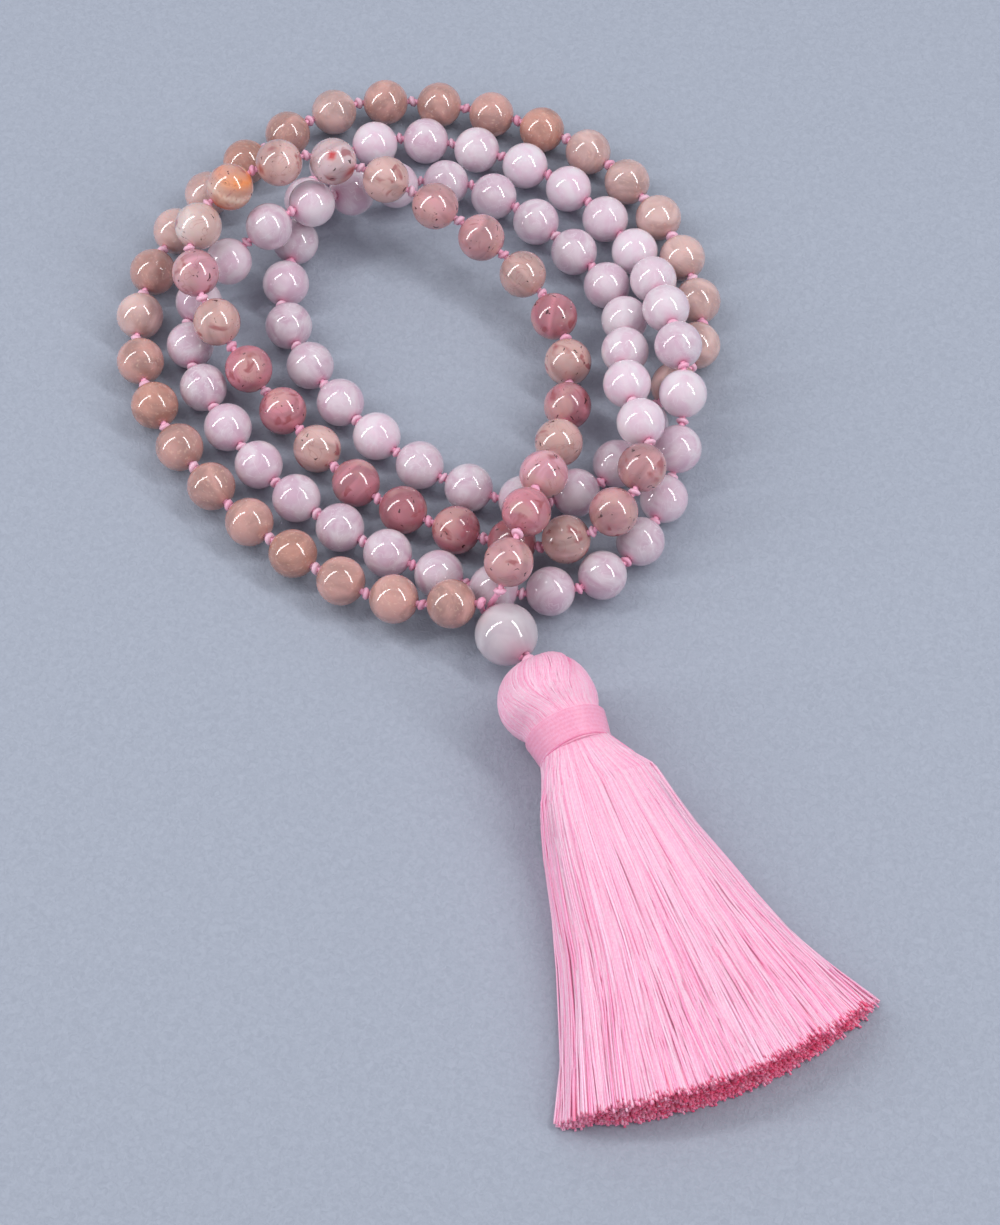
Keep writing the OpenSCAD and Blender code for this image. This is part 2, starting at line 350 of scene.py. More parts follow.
def cover(finish, body, mask, tone):
    """Lay a colour over the body, through a mask."""
    return mix(finish, "MIX", mask, (body, 2), colour(*tone))


def cover_where(finish, body, source, stops, tone):
    """Lay a colour over the body where a noise passes the stops of a ramp."""
    return cover(finish, body, (ramp(finish, source, "Fac", stops), "Color"), tone)


print("node helpers ready")

# %% [markdown]
# ## Polished stone
#
# Every bead is cut from its own piece of rough stone, so no two share a pattern. Painting 108
# materials would be slow, so each stone has one material, which reads two things stored on the
# mesh: the bead's own colour, and a place inside the stone that starts somewhere else for each
# bead. Light goes a little way into these stones, so all of them have some subsurface light.


# %% Sunstone: cloudy peach feldspar
def stone_place(finish, stretch):
    return add(finish, "ShaderNodeMapping", [("Vector", stored(finish, "inside_stone"), "Vector")],
               Scale=stretch)


sunstone, shader = new_finish(
    "sunstone_polished", Roughness=0.1, IOR=1.54, Subsurface_Weight=0.55,
    Subsurface_Scale=0.0008, Subsurface_Radius=(1.0, 0.5, 0.35), Coat_Weight=0.5,
    Coat_Roughness=0.03)
own = stored(sunstone, "bead_colour")
place = stone_place(sunstone, (0.16, 0.16, 0.3))
cloud = noise(sunstone, place, "Vector", Scale=1.0, Detail=3.0, Distortion=0.8)
veil = ramp(sunstone, cloud, "Fac", [(0.38, 0.38), (0.62, 0.66)])
body = mix(sunstone, "OVERLAY", 0.8, (own, "Color"), (veil, "Color"))
flake = noise(sunstone, place, "Vector", Scale=9.0, Detail=2.0)
body = cover_where(sunstone, body, flake, [(0.58, 0.0), (0.72, 0.4)], (224, 188, 170))
wire(sunstone, body, 2, shader, "Base Color")
print("made", sunstone.name)

# %% Rose quartz: milky, pink and half clear
rose_quartz, shader = new_finish(
    "rose_quartz_polished", Roughness=0.07, IOR=1.54, Subsurface_Weight=0.6,
    Subsurface_Scale=0.0012, Subsurface_Radius=(1.0, 0.85, 0.9), Transmission_Weight=0.25,
    Coat_Weight=0.4, Coat_Roughness=0.03, Sheen_Weight=0.25, Sheen_Roughness=0.35,
    Sheen_Tint=colour(255, 240, 248))
own = stored(rose_quartz, "bead_colour")
place = stone_place(rose_quartz, (0.2, 0.2, 0.2))
haze = noise(rose_quartz, place, "Vector", Scale=1.0, Detail=4.0, Distortion=1.5)
veil = ramp(rose_quartz, haze, "Fac", [(0.38, 0.36), (0.62, 0.72)])
body = mix(rose_quartz, "OVERLAY", 0.7, (own, "Color"), (veil, "Color"))
crack = noise(rose_quartz, place, "Vector", Scale=1.6, Detail=2.0, Distortion=1.0)
body = cover_where(rose_quartz, body, crack, [(0.485, 0.0), (0.5, 0.6), (0.515, 0.0)],
                   (248, 236, 244))
body = cover(rose_quartz, body, (stored(rose_quartz, "near_cord"), "Fac"), (238, 130, 172))
wire(rose_quartz, body, 2, shader, "Base Color")
print("made", rose_quartz.name)

# %% Rhodonite: pink stone with wood-like grain, tan patches and black specks
rhodonite, shader = new_finish(
    "rhodonite_polished", Roughness=0.12, IOR=1.6, Subsurface_Weight=0.25,
    Subsurface_Scale=0.0008, Coat_Weight=0.5, Coat_Roughness=0.03)
own = stored(rhodonite, "bead_colour")
place = stone_place(rhodonite, (0.10, 0.12, 0.42))
grain = noise(rhodonite, place, "Vector", Scale=1.0, Detail=2.0, Distortion=0.5)
streak = ramp(rhodonite, grain, "Fac", [(0.36, 0.34), (0.5, 0.5), (0.64, 0.66)])
body = mix(rhodonite, "OVERLAY", 0.75, (own, "Color"), (streak, "Color"))
patch_place = stone_place(rhodonite, (0.17, 0.17, 0.17))
patch = noise(rhodonite, patch_place, "Vector", Scale=1.0, Detail=1.0, Distortion=0.5)
body = cover_where(rhodonite, body, patch, [(0.48, 0.0), (0.62, 0.55)], (198, 157, 150))
vein = noise(rhodonite, patch_place, "Vector", Scale=1.7, Detail=2.5, Distortion=0.6)
body = cover_where(rhodonite, body, vein, [(0.60, 0.0), (0.68, 0.75)], (150, 66, 72))
body = cover_where(rhodonite, body, vein, [(0.40, 0.0), (0.41, 0.35), (0.42, 0.0)], (140, 70, 72))
speck_place = stone_place(rhodonite, (0.42, 0.42, 0.55))
speck = noise(rhodonite, speck_place, "Vector", Scale=1.9, Detail=3.0, Distortion=0.5)
body = cover_where(rhodonite, body, speck, [(0.665, 0.0), (0.70, 0.9)], (62, 32, 34))
wire(rhodonite, body, 2, shader, "Base Color")
print("made", rhodonite.name)

# %% [markdown]
# ## One drilled bead
#
# A bead is ground round, drilled from both sides, and tumbled, which rounds the edge of the
# hole. A ball with a hole could be cut with a boolean, but that leaves long thin triangles that
# shade badly. Cutting the two poles off a sphere, bridging the two open rims into a bore and
# bevelling the rims gives clean rings of faces instead.


# %% Model the bead
RIM_WIDTH = 0.16 * MM
RIM_DEPTH = 0.25 * MM
RIM_ROUND = 0.09 * MM
TINY = 1e-6


def drilled_bead(name, diameter, bore, segments, rings):
    put_down()
    mouth = bore / 2 + RIM_WIDTH
    cut = math.sqrt((diameter / 2) ** 2 - mouth ** 2)
    bpy.ops.mesh.primitive_uv_sphere_add(segments=segments, ring_count=rings,
                                         radius=diameter / 2, location=(0, 0, 0))
    bead = added(name)
    edit(bead)
    for z in (cut, -cut):
        bpy.ops.mesh.select_all(action="SELECT")
        bpy.ops.mesh.bisect(plane_co=(0, 0, z), plane_no=(0, 0, math.copysign(1, z)),
                            clear_outer=True)
    choose(bead, lambda co: abs(co.z) > cut - TINY, "EDGE")
    bpy.ops.mesh.extrude_region_move(TRANSFORM_OT_translate={"value": (0, 0, 0)})
    slim = bore / 2 / mouth
    bpy.ops.transform.resize(value=(slim, slim, 1 - RIM_DEPTH / cut), center_override=(0, 0, 0))
    bpy.ops.mesh.bridge_edge_loops()
    choose(bead, lambda co: abs(co.z) > cut - TINY, "EDGE")
    bpy.ops.mesh.bevel(offset=RIM_ROUND, segments=2, affect="EDGES")
    close_up()
    print(name, "faces", len(bead.data.polygons))
    return shape_of(bead)


BEAD_BORE = 1.1 * MM
bead_shape = drilled_bead("bead_pattern", BEAD_D, BEAD_BORE, 36, 22)

# %% [markdown]
# ## Colours of the beads
#
# The beads run in three sections, and a stringer sorts them by eye. A letter for each bead, in
# order along the cord, names its colour: deep, middle and light sunstones, milky and clear rose
# quartz, and rose, dusty, tan, dark, cream, banded, whitish and pink rhodonites.

# %% Letters and palettes
SUNSTONES = "mmmdmmmdmlmlldmlmmmdlllllll"
ROSE_QUARTZES = "mcccccmcccccccmcmmmmmmmcmcccccccccccccccccmcccccccmmmm"
RHODONITES = "pptdddrtrrtkcbtwtpptrtrtkrp"
SUNSTONE_COLOURS = {"d": (180, 132, 120), "m": (182, 139, 132), "l": (196, 162, 158)}
ROSE_COLOURS = {"m": (245, 223, 235), "c": (231, 206, 220)}
RHODONITE_COLOURS = {
    "r": (186, 118, 130), "p": (184, 134, 138), "t": (192, 154, 150), "d": (162, 98, 108),
    "c": (206, 182, 178), "b": (206, 160, 142), "w": (194, 166, 170), "k": (202, 146, 158)}
print("letters", len(SUNSTONES), len(ROSE_QUARTZES), len(RHODONITES))


# %% Lay a group of beads, and store each bead's colour and its place in the rough stone
SMOOTH_BELOW = math.radians(50)


def lay_beads(name, first, letters, palette, finish, body, node):
    rng = np.random.default_rng(500 + first)
    places, tones, rough = [], [], []
    for k, letter in enumerate(letters):
        i = first + k
        places.append(stand(bead_centres[i], bead_axes[i], rng.uniform(0, 2 * math.pi)))
        tone = np.array(colour(*palette[letter])[:3]) * rng.uniform(0.92, 1.03)
        tones.append(np.tile(tone, (len(bead_shape[0]), 1)))
        turn = np.linalg.qr(rng.normal(size=(3, 3)))[0]
        rough.append(bead_shape[0] / MM @ turn.T + rng.uniform(20, 400, 3))
    piece = lay_copies(name, bead_shape, places)
    paint(piece, "bead_colour", np.vstack(tones))
    paint(piece, "inside_stone", np.vstack(rough))
    r = np.linalg.norm(bead_shape[0][:, :2], axis=1) / MM
    paint(piece, "near_cord", np.tile(0.75 * np.exp(-r ** 2), len(letters)))
    pick_up(piece)
    bpy.ops.object.shade_smooth_by_angle(angle=SMOOTH_BELOW)
    dress(piece, finish, body)
    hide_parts(node)
    return piece


# %% String the sunstones and the rose quartz
for k in range(9):
    lay_beads("sunstones_%d" % (k + 1), 3 * k, SUNSTONES[3 * k:3 * k + 3], SUNSTONE_COLOURS,
              sunstone, "strand", "sunstone_beads_%d" % (k + 1))
    lay_beads("rose_quartzes_%d" % (k + 1), 27 + 6 * k, ROSE_QUARTZES[6 * k:6 * k + 6],
              ROSE_COLOURS, rose_quartz, "strand", "rose_quartz_beads_%d" % (k + 1))
print("sunstones", len(SUNSTONES), "rose quartzes", len(ROSE_QUARTZES))

# %% String the rhodonites, each on its own body
FIRST_RHODONITE = 81
rhodonites = []
for k in range(27):
    node = "rhodonite_bead_%02d" % (k + 1)
    rhodonites.append(lay_beads("rhodonite_%02d" % (k + 1), FIRST_RHODONITE + k, RHODONITES[k],
                                RHODONITE_COLOURS, rhodonite, node, node))
print("rhodonites", len(rhodonites))

# %% [markdown]
# Two of the rhodonites stand out: one has an orange, agate-like band round it, and one is nearly
# white with a red spot. A pattern in the material would show on every bead, so these two are
# painted on their own vertices.


# %% Paint the banded bead and the spotted bead
def repaint(piece, centre, rule):
    co = np.array([v.co[:] for v in piece.data.vertices])
    own = unit(co - centre)
    layer = piece.data.attributes["bead_colour"]
    values = np.empty(len(co) * 4)
    layer.data.foreach_get("color", values)
    values = values.reshape(-1, 4)
    for strength, tone in rule(own):
        s = np.clip(strength, 0, 1)[:, None]
        values[:, :3] = values[:, :3] * (1 - s) + np.array(colour(*tone)[:3]) * s
    layer.data.foreach_set("color", values.ravel())


def bands(own):
    level = own @ unit(np.array([0.35, 0.25, 1.0]))
    return [(np.exp(-((level + 0.55) / 0.16) ** 2), (206, 96, 48)),
            (np.exp(-((level - 0.75) / 0.2) ** 2), (236, 150, 84)),
            (0.8 * np.exp(-((level - 0.1) / 0.1) ** 2), (240, 214, 196))]


def spot(own):
    level = own @ unit(np.array([0.0, -0.45, 1.0]))
    low = own @ unit(np.array([0.7, -0.6, -0.2]))
    return [(1.3 * np.exp(-((1 - level) / 0.018) ** 2), (176, 44, 50)),
            (np.exp(-((1 - low) / 0.12) ** 2), (176, 66, 72))]


BANDED, SPOTTED = 13, 15
repaint(rhodonites[BANDED], bead_centres[FIRST_RHODONITE + BANDED], bands)
repaint(rhodonites[SPOTTED], bead_centres[FIRST_RHODONITE + SPOTTED], spot)
print("painted", rhodonites[BANDED].name, rhodonites[SPOTTED].name)

# %% [markdown]
# ## The guru bead
#
# The larger bead that closes the loop is milky quartz. It is made like the others, with more
# faces, and a bore wide enough for both ends of the cord.

# %% Guru bead
guru_quartz, shader = new_finish(
    "guru_quartz_polished", Roughness=0.07, IOR=1.54, Subsurface_Weight=0.8,
    Subsurface_Scale=0.0018, Subsurface_Radius=(1.0, 0.9, 0.92), Transmission_Weight=0.35,
    Coat_Weight=0.4, Coat_Roughness=0.03)
place = stone_place(guru_quartz, (0.16, 0.16, 0.16))
haze = noise(guru_quartz, place, "Vector", Scale=1.0, Detail=4.0, Distortion=1.2)
tone = ramp(guru_quartz, haze, "Fac", [(0.36, colour(218, 205, 213)), (0.52, colour(226, 215, 221)),
                                       (0.66, colour(236, 226, 231))])
near_cord = stored(guru_quartz, "near_cord")
tone = mix(guru_quartz, "MIX", (near_cord, "Fac"), (tone, "Color"), colour(240, 160, 188))
wire(guru_quartz, tone, 2, shader, "Base Color")
GURU_BORE = 2.3 * MM
guru_shape = drilled_bead("guru_pattern", GURU_D, GURU_BORE, 48, 30)
guru = lay_copies("guru_stone", guru_shape, [stand(guru_at, guru_dir)])
paint(guru, "inside_stone", guru_shape[0] / MM + 77.0)
r = np.linalg.norm(guru_shape[0][:, :2], axis=1) / MM
paint(guru, "near_cord", 0.7 * np.exp(-(r / 1.7) ** 2))
pick_up(guru)
bpy.ops.object.shade_smooth_by_angle(angle=SMOOTH_BELOW)
dress(guru, guru_quartz, "guru")
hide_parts("guru_bead")

# %% [markdown]
# ## Silk
#
# Silk thread is bright because its fibres are smooth and lie side by side. Seen close it has a
# soft highlight along each thread and deep colour in the gaps. The threads are real geometry
# here, so the material adds the fine twist, a little sheen and a tone for each thread, and
# the tassel's silk also lays a painted shade of deep red wherever the mesh marks it.


# %% Silk finishes
def silk(name, pale, deep, twist, rough):
    finish, shader = new_finish(
        name, Roughness=rough, Subsurface_Weight=0.2, Subsurface_Scale=0.0006,
        Subsurface_Radius=(1.0, 0.5, 0.6), Sheen_Weight=0.12, Sheen_Roughness=0.4,
        Sheen_Tint=colour(255, 200, 225))
    shade = stored(finish, "thread_shade")
    where = add(finish, "ShaderNodeTexCoord")
    fibre = noise(finish, where, "Object", Scale=twist, Detail=2.0)
    uneven = ramp(finish, fibre, "Fac", [(0.35, 0.42), (0.65, 0.58)])
    body = mix(finish, "MIX", (shade, "Fac"), colour(*pale), colour(*deep))
    body = mix(finish, "OVERLAY", 0.6, (body, 2), (uneven, "Color"))
    wire(finish, body, 2, shader, "Base Color")
    bump = add(finish, "ShaderNodeBump", [("Height", fibre, "Fac")], Strength=0.25,
               Distance=0.00005)
    wire(finish, bump, "Normal", shader, "Normal")
    return finish, shader, body


cord_silk = silk("cord_silk_twisted", (255, 202, 224), (252, 140, 182), 5200, 0.4)[0]
skirt_silk, skirt_shader, skirt_body = silk(
    "tassel_silk_satin", (255, 204, 226), (255, 148, 192), 2600, 0.38)
wrap_silk = silk("wrap_silk_wound", (252, 176, 204), (236, 122, 164), 2600, 0.28)[0]
# Painted shade: deep red laid over the tassel's silk where the mesh marks it, at the cut ends, in
# the head's crease and in the gaps between threads.
cut = stored(skirt_silk, "painted_deep_shade")
skirt_body = cover(skirt_silk, skirt_body, (cut, "Fac"), (248, 64, 116))
wire(skirt_silk, skirt_body, 2, skirt_shader, "Base Color")
print("silk finishes made")

# %% [markdown]
# ## The stringing cord
#
# The cord is two plies of silk twisted together. A plain tube would hide the twist, and a curve
# bevelled with a round section can't turn as it goes. So one short length is modelled: a pinched
# ring, extruded and turned step by step until it repeats. An array repeats it to the length of
# the strand, and a curve modifier bends it along the route through every bead.

# %% Model one twist of the cord
PLY_STEPS = 6
PLY_PITCH = 2.4 * MM


def twist_of_cord(name, diameter):
    put_down()
    bpy.ops.mesh.primitive_circle_add(vertices=10, radius=diameter / 2, location=(0, 0, 0))
    ply = added(name)
    edit(ply)
    choose(ply, lambda co: abs(co.x) < 0.4 * diameter / 2)
    bpy.ops.transform.resize(value=(1, 0.8, 1), center_override=(0, 0, 0))
    bpy.ops.mesh.select_all(action="SELECT")
    for _ in range(PLY_STEPS):
        bpy.ops.mesh.extrude_region_move(
            TRANSFORM_OT_translate={"value": (0, 0, PLY_PITCH / PLY_STEPS)})
        bpy.ops.transform.rotate(value=math.radians(180 / PLY_STEPS), orient_axis="Z",
                                 center_override=(0, 0, 0))
    close_up()
    return ply


def strand_along(name, diameter, line):
    """Repeat the twist to the length of a line, and bend it along the line."""
    route = bpy.data.curves.new(name + "_route", "CURVE")
    route.dimensions = "3D"
    spline = route.splines.new("POLY")
    spline.points.add(len(line) - 1)
    for point, co in zip(spline.points, line):
        point.co = (*co, 1)
    guide = bpy.data.objects.new(name + "_route", route)
    bpy.context.collection.objects.link(guide)
    cord = twist_of_cord(name, diameter)
    length = float(np.linalg.norm(np.diff(line, axis=0), axis=1).sum())
    pick_up(cord)
    repeat = cord.modifiers.new("repeat", "ARRAY")
    repeat.use_relative_offset = False
    repeat.use_constant_offset = True
    repeat.constant_offset_displace = (0, 0, PLY_PITCH)
    repeat.count = max(1, math.ceil(length / PLY_PITCH))
    repeat.use_merge_vertices = True
    repeat.merge_threshold = 0.00002
    bpy.ops.object.modifier_apply(modifier="repeat")
    longest = max(v.co.z for v in cord.data.vertices)
    cord.data.transform(Matrix.Diagonal((1, 1, length / longest * 0.9995, 1)))
    bend = cord.modifiers.new("bend", "CURVE")
    bend.object = guide
    bend.deform_axis = "POS_Z"
    bpy.ops.object.modifier_apply(modifier="bend")
    bpy.data.objects.remove(guide, do_unlink=True)
    edit(cord)
    bpy.ops.mesh.select_all(action="DESELECT")
    bpy.ops.mesh.select_non_manifold(extend=False, use_multi_face=False, use_non_contiguous=False,
                                     use_verts=False)
    bpy.ops.mesh.edge_face_add()
    close_up()
    bpy.ops.object.shade_smooth()
    paint(cord, "thread_shade", 0.45)
    cord.data.materials.append(cord_silk)
    print(name, "mm", round(length / MM, 1), "faces", len(cord.data.polygons))
    return cord, length


# %% Thread the strand
strand, strand_length = strand_along("strand_cord", CORD_D, cord_line)
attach(strand, "strand")
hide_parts("stringing_cord")

# %% The two cord ends through the guru bead, and the cord that holds the tassel
through = GURU_D + PAIR_STANDS_OUT - 0.08 * MM
THIN_CORD_D = CORD_D * 0.98
ends = []
for k, start in enumerate((cord_start, cord_finish)):
    ends.append(strand_along("guru_cord_end_%d" % (k + 1), THIN_CORD_D,
                             np.array([start, start + through / 2 * guru_dir,
                                       start + through * guru_dir]))[0])
pick_up(ends[0])
ends[1].select_set(True)
bpy.ops.object.join()
guru_ends = added("guru_cord_ends")
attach(guru_ends, "strand")
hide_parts("guru_cords")
core = TASSEL @ Vector((8.9 * MM, 0, AXIS_Z * MM))
hang = unit(np.array(core) - pivot)
hanger = strand_along("tassel_hanger", THIN_CORD_D,
                      np.array([pivot + 1.38 * MM * hang, pivot + 4 * MM * hang,
                                np.array(core) - 2.2 * MM * hang]))[0]
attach(hanger, "tassel")
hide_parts("tassel_hanging_cord")

# %% [markdown]
# ## Knots
#
# A stringer ties an overhand knot against every bead. Pulled tight, it is a small ball in which
# the thread goes round twice, one turn leaning each way. Two leaning rings, squashed together,
# read as that knot and stay light enough to repeat 109 times.


# %% Model the knot
KNOT_LEAN = math.radians(24)


def tied_knot(name, turns, width, length):
    """Leaning rings of thread, brought to a width across the cord and a length along it."""
    put_down()
    for k in range(turns):
        about = 2 * math.pi * k / turns
        turn = (KNOT_LEAN * math.cos(about), KNOT_LEAN * math.sin(about), about)
        bpy.ops.mesh.primitive_torus_add(major_segments=11, minor_segments=5, major_radius=0.52,
                                         minor_radius=0.46, location=(0, 0, 0), rotation=turn)
        if k == 0:
            ball = added(name)
            pick_up(ball)
            bpy.ops.object.transform_apply(location=False, rotation=True, scale=False)
            bpy.ops.object.mode_set(mode="EDIT")
    close_up()
    co = np.array([v.co[:] for v in ball.data.vertices])
    across = np.linalg.norm(co[:, :2], axis=1).max() * 2
    tall = np.ptp(co[:, 2])
    ball.data.transform(Matrix.Diagonal((width / across, width / across, length / tall, 1)))
    print(name, "faces", len(ball.data.polygons))
    return shape_of(ball)


KNOT_D = 2.1 * MM
knot_shape = tied_knot("knot_pattern", 2, KNOT_D, 1.0)


# %% Tie the knots
LAST_BEAD = len(bead_axes) - 1


def knot_direction(i):
    """A knot points half way between its two beads, or along its one bead at the ends."""
    return unit(bead_axes[max(i - 1, 0)] + bead_axes[min(i, LAST_BEAD)])


def tie_knots(name, first, last, node):
    rng = np.random.default_rng(40 + first)
    places, shades = [], []
    for i in range(first, last + 1):
        length = min(gaps[max(i - 1, 0)], gaps[min(i, LAST_BEAD)]) - 0.04 * MM
        width = rng.uniform(0.92, 1.06)
        roll = rng.uniform(0, 6.28)
        places.append(stand(knots[i], knot_direction(i), roll, (width, width, length)))
        shades.append(np.full(len(knot_shape[0]), rng.uniform(0.0, 0.6)))
    piece = lay_copies(name, knot_shape, places)
    paint(piece, "thread_shade", np.hstack(shades))
    dress(piece, cord_silk, "strand")
    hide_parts(node)


tie_knots("knots_by_sunstones", 0, 27, "sunstone_knots")
tie_knots("knots_by_rose_quartz", 28, 81, "rose_quartz_knots")
tie_knots("knots_by_rhodonites", 82, 108, "rhodonite_knots")
lower_shape = tied_knot("lower_knot_pattern", 4, LOWER_KNOT_D, LOWER_KNOT_D)
lower_knot = lay_copies("lower_knot_tied", lower_shape, [stand(pivot, guru_dir)])
paint(lower_knot, "thread_shade", 0.35)
dress(lower_knot, cord_silk, "lower_knot")
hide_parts("guru_lower_knot")

print("cord in metres", round(strand_length, 3))

# %% [markdown]
# ## One thread of the tassel
#
# No sheet with a stripe pattern can give a tassel its loose edge and its cut end. So one thread
# is modelled as a thin tube of a few rings, and it is copied along thousands of lines. Four
# sides and a dozen rings are enough for a tube a few hairs thick.


# %% Model a straight thread
def straight_tube(name, sides, rings):
    """A closed tube of radius 1, with a ring of vertices at each unit of Z."""
    put_down()
    bpy.ops.mesh.primitive_circle_add(vertices=sides, radius=1, location=(0, 0, 0),
                                      fill_type="NGON")
    tube = added(name)
    edit(tube, "FACE")
    bpy.ops.mesh.select_all(action="SELECT")
    for _ in range(rings):
        bpy.ops.mesh.extrude_region_move(TRANSFORM_OT_translate={"value": (0, 0, 1)})
    close_up()
    print(name, "faces", len(tube.data.polygons))
    return shape_of(tube)


THREAD_SIDES = 4
skirt_thread = straight_tube("skirt_thread_pattern", THREAD_SIDES, 12)
short_thread = straight_tube("short_thread_pattern", THREAD_SIDES, 3)


def in_tassel_frame(points):
    """Take points from the tassel's frame, in millimetres, to the shared frame, in metres."""
    turn = np.array(TASSEL)
    return points * MM @ turn[:3, :3].T + turn[:3, 3]


# %% [markdown]
# ## The skirt
#
# From the neck the threads fan out like rays from one point, sink onto the table, and are cut
# to one length. Each thread has a place in a square: across the fan, and from the bottom to the
# top. At the neck the square is pressed into the round bundle, and further out it opens into
# the flat fan. Neighbours share a slow wave, which gives the locks, and each thread adds a
# small wander of its own.

# %% Lines of the skirt's threads, in the tassel's frame and in millimetres
APEX = 3.0
REACH = 73.0
HALF_FAN = math.radians(20.5)
WIDTH_AT = [17, 19.2, 21, 25, 30, 35, 40, 50, 60, 70, 76]
HALF_WIDTH = [5.0, 5.5, 7.3, 9.1, 10.7, 12.0, 13.2, 15.6, 19.0, 23.0, 25.0]
TOP_AT = [19.4, 34, 76]
TOP_HEIGHT = [12.4, 11.2, 8.4]
NECK_HALF_WIDTH = 5.3
NECK_HALF_HEIGHT = 5.2
LOWEST = 0.2
# The painted shade of the cut end lies on this last share of each thread.
SEEN_END = 0.008  # the share of a thread, at its end, that can show the colour of the cut
FULL_TURN = 6.28


def smoothstep(x):
    x = np.clip(x, 0, 1)
    return x * x * (3 - 2 * x)


def own_wander(s, rng):
    """Each thread's two small waves and its lean to one side. Without rng there is none."""
    one_each = (len(s), 1)
    if rng is None:
        return np.zeros_like(s), np.zeros(one_each)
    slow = rng.normal(size=one_each) * np.sin(s / 9 + rng.uniform(0, FULL_TURN, one_each))
    quick = rng.normal(size=one_each) * np.sin(s / 4.7 + rng.uniform(0, FULL_TURN, one_each))
    return slow + quick * 0.4, rng.normal(size=one_each)


def skirt_lines(across, level, begin, reach, rings, rng=None, wander=1.0):
    """across and level run from -1 to 1. begin is where a thread starts along the tassel."""
    t = np.linspace(0, 1, rings + 1)
    t[-2] = 1 - SEEN_END
    angle = across * HALF_FAN
    end = APEX + reach * np.cos(angle)
    s = begin[:, None] + (end - begin)[:, None] * t[None]
    far = np.clip((s - 22) / 54, 0, 1)  # 0 near the neck, 1 at the cut end
    inner = np.clip(across, -1, 1)[:, None]
    fan = inner + 1.2 * (across[:, None] - inner) * far ** 2  # strays leave the edge late
    ray = fan * np.interp(s, WIDTH_AT, HALF_WIDTH) + 0.8 * smoothstep((s - 19) / 8)
    across = inner[:, 0]
    disc_x = across * np.sqrt(1 - level ** 2 / 2)
    disc_z = level * np.sqrt(1 - across ** 2 / 2)
    spread_out = smoothstep((s - 17) / 8)
    y = (1 - spread_out) * NECK_HALF_WIDTH * disc_x[:, None] + spread_out * ray
    top = np.interp(s, TOP_AT, TOP_HEIGHT)
    thin = 1 - 0.62 * np.abs(across) ** 3.5  # the fan is thinner at its edges
    flat = 0.22 + (top - 0.3) * thin[:, None] * (level[:, None] + 1) / 2
    flatten = smoothstep((s - 18) / 17)
    z = (1 - flatten) * (AXIS_Z + NECK_HALF_HEIGHT * disc_z[:, None]) + flatten * flat
    lock = (np.sin(9 * across + 1.3)[:, None] * np.sin(s / 13 + 4 * across[:, None])
            + 0.7 * np.sin(23 * across[:, None] + s / 17 + 2 * level[:, None]))
    own, lean = own_wander(s, rng)
    y = y + far * (0.42 * lock + 0.4 * wander * own + 0.5 * wander * lean * far)
    z = z + far * thin[:, None] * 0.15 * np.roll(own, 1, axis=0)
    return np.stack([s, y, np.maximum(z, LOWEST)], axis=-1)


# %% Lay the skirt in layers
def lay_skirt(name, across, level, begin, seed, thickness, wander=1.0, cut_shade_share=1.0,
              thread=skirt_thread, end_shade_on_side=0.0):
    """The last argument is how much of the cut end's painted shade shows on the side of the thread
    near it.
    """
    rng = np.random.default_rng(seed)
    count = len(across)
    reach = REACH + rng.normal(size=count) * (0.35 if end_shade_on_side == 0 else 0.22)
    ring = ring_of(thread[0])
    rings = ring.max()
    lines = in_tassel_frame(skirt_lines(across, level, begin, reach, rings, rng, wander))
    radii = thickness * MM * rng.uniform(0.85, 1.15, count)
    up = np.broadcast_to(np.array([0, 0, 1.0]), lines.shape)
    piece = lay_threads(name, thread, lines, up, radii)
    size = len(ring)
    paint(piece, "thread_shade", np.repeat(rng.beta(1.3, 2.2, count), size))
    # Painted shade: the cut end of each thread is painted deep red, a little less on the left, and
    # some of it goes on the side just before the end.
    at_end = np.where(ring == rings, 1.0, np.where(ring == rings - 1, end_shade_on_side, 0.0))
    red = np.clip(rng.normal(0.85, 0.2, count) + 0.35 * np.minimum(across, 0), 0, 1) * cut_shade_share
    paint(piece, "painted_deep_shade", (red[:, None] * at_end[None]).ravel())
    dress(piece, skirt_silk, "tassel")
    print(name, "threads", count, "faces", len(piece.data.polygons))
    return piece


rng = np.random.default_rng(7)
EDGE = 0.9  # the upper layer comes down the side beyond this share of the half width
UPPER, LOWER, INNER, STRAY = 1400, 1100, 1700, 120
across = np.sin(rng.uniform(-1, 1, UPPER) * math.pi / 2 * 0.97)
level = 1 - rng.uniform(0, 1, UPPER) ** 1.5 * 0.16
side = np.abs(across) > EDGE
level[side] = rng.uniform(-0.6, 1, side.sum())
kept = (across < EDGE) | (rng.uniform(0, 1, UPPER) < 0.5)
skirt_top = lay_skirt("skirt_upper_threads", across[kept], level[kept],
                      rng.uniform(16, 18.4, kept.sum()), 11, 0.19)
across = rng.uniform(-1, 1, LOWER)
level = rng.uniform(-1, 0.2, LOWER)
edge = rng.uniform(0, 1, LOWER) < 0.16
across[edge] = np.sign(across[edge]) * rng.uniform(0.92, 1.0, edge.sum())
level[~edge] = -1 + 0.25 * rng.uniform(0, 1, (~edge).sum())
lay_skirt("skirt_lower_threads", across, level, rng.uniform(16, 18.4, LOWER), 12, 0.2)
across = rng.uniform(-0.98, 0.98, INNER)
level = rng.uniform(-0.95, 0.93, INNER)
# The short inner ends carry the painted shade of the cut end, also a little way up their sides.
lay_skirt("skirt_inner_ends", across, level, rng.uniform(62, 66, INNER), 13, 0.24,
          thread=short_thread, end_shade_on_side=0.85)

# %% [markdown]
# A few threads always escape at the edges, and one side of this skirt thins out until the
# table shows between its threads.

